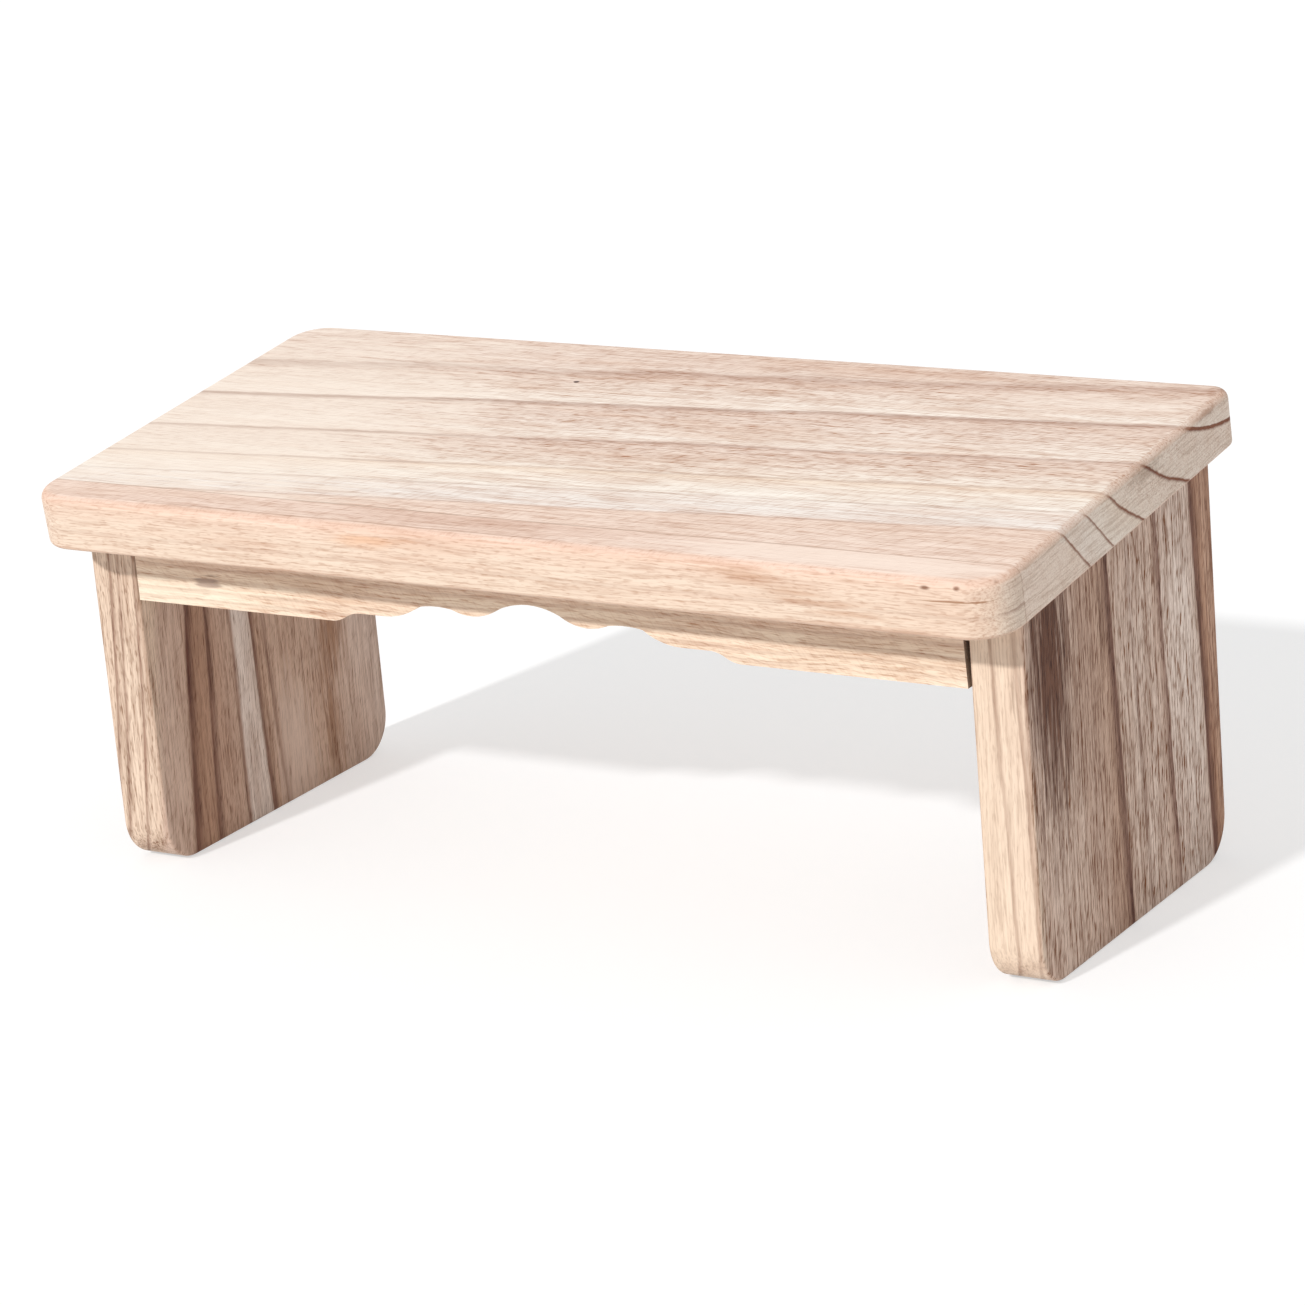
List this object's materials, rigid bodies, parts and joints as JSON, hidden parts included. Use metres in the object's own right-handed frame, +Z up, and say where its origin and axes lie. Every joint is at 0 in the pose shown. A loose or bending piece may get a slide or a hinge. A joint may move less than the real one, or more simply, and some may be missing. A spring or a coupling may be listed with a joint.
{
  "type": "folding meditation bench",
  "caption": "Low kneeling bench in pale wood: a sloping seat on two board legs that fold in under it on hinges, with a scalloped apron between them.",
  "frame": {"origin": "on the floor, under the middle of the bench's box", "axes": "+X along the seat to the right as seen from the front, +Y to the rear, +Z up"},
  "size_m": [0.44, 0.2016, 0.1878],
  "materials": {
    "seat_wood": "sanded, lightly scorched paulownia",
    "stave_wood": "sanded, lightly scorched paulownia",
    "leg_wood": "sanded, lightly scorched paulownia",
    "apron_wood": "sanded, lightly scorched paulownia",
    "rail_wood": "sanded paulownia",
    "dowel_wood": "turned beech",
    "hinge_steel": "pressed, zinc plated",
    "pin_steel": "drawn wire",
    "screw_steel": "zinc plated"
  },
  "bodies": {
    "seat": {"seat_board": "seat_wood", "seat_front_stave": "stave_wood", "front_apron": "apron_wood", "apron_dowels": "dowel_wood", "right_hinge_rail": "rail_wood", "left_hinge_rail": "rail_wood", "right_rail_screws": "screw_steel", "left_rail_screws": "screw_steel", "right_front_hinge_seat_leaf": "hinge_steel", "left_front_hinge_seat_leaf": "hinge_steel", "right_front_hinge_pin": "pin_steel", "left_front_hinge_pin": "pin_steel", "right_rear_hinge_seat_leaf": "hinge_steel", "left_rear_hinge_seat_leaf": "hinge_steel", "right_rear_hinge_pin": "pin_steel", "left_rear_hinge_pin": "pin_steel", "right_rail_leaf_screws": "screw_steel", "left_rail_leaf_screws": "screw_steel"},
    "left_leg": {"left_leg": "leg_wood", "left_front_hinge_leg_leaf": "hinge_steel", "left_rear_hinge_leg_leaf": "hinge_steel", "left_leg_leaf_screws": "screw_steel"},
    "right_leg": {"right_leg": "leg_wood", "right_front_hinge_leg_leaf": "hinge_steel", "right_rear_hinge_leg_leaf": "hinge_steel", "right_leg_leaf_screws": "screw_steel"}
  },
  "joints": [
    {"name": "left_leg_fold", "type": "hinge", "parent": "seat", "child": "left_leg", "pos_m": [-0.1884, 0.02093, 0.12223], "axis": [0, -0.9943, -0.1063], "range_deg": [0, 90]},
    {"name": "right_leg_fold", "type": "hinge", "parent": "seat", "child": "right_leg", "pos_m": [0.1884, 0.02093, 0.12223], "axis": [0, 0.9943, 0.1063], "range_deg": [0, 90]}
  ]
}
